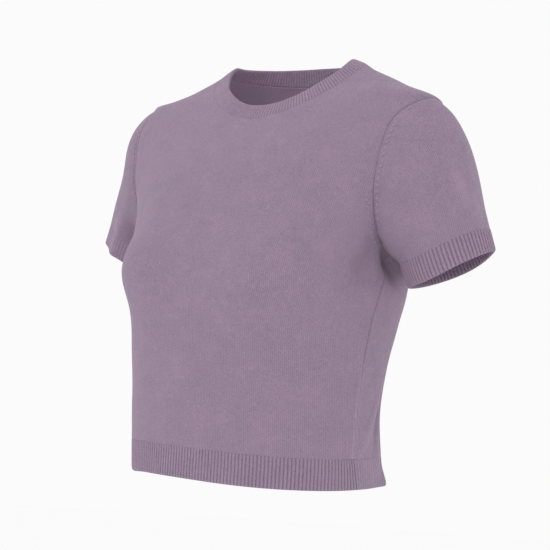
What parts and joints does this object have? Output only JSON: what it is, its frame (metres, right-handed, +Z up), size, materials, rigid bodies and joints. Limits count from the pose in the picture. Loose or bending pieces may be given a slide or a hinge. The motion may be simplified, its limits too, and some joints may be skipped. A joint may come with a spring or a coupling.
{
  "type": "cropped short-sleeved knit top",
  "caption": "Hollow knitted crop top held open as worn, with a ribbed round neck, set-in short sleeves with ribbed cuffs, and a ribbed hem.",
  "frame": {"origin": "midway between the high points of the two shoulder seams at the neck, where the wearer's shoulders carry the top", "axes": "+X to the wearer's left, +Y to the wearer's back, +Z up; the front faces -Y"},
  "size_m": [0.4984, 0.2491, 0.4333],
  "materials": {
    "plain_knit": "matte fine-gauge plain knit, dusty mauve, with a faint soft halo",
    "rib_knit": "matte narrow rib knit in the same yarn, a shade deeper in its grooves"
  },
  "bodies": {
    "root": {"front_panel": "plain_knit", "back_panel": "plain_knit", "sleeve_left": "plain_knit", "sleeve_right": "plain_knit", "neck_band": "rib_knit", "cuff_left": "rib_knit", "cuff_right": "rib_knit", "hem_rib_front": "rib_knit", "hem_rib_back": "rib_knit"}
  },
  "joints": []
}
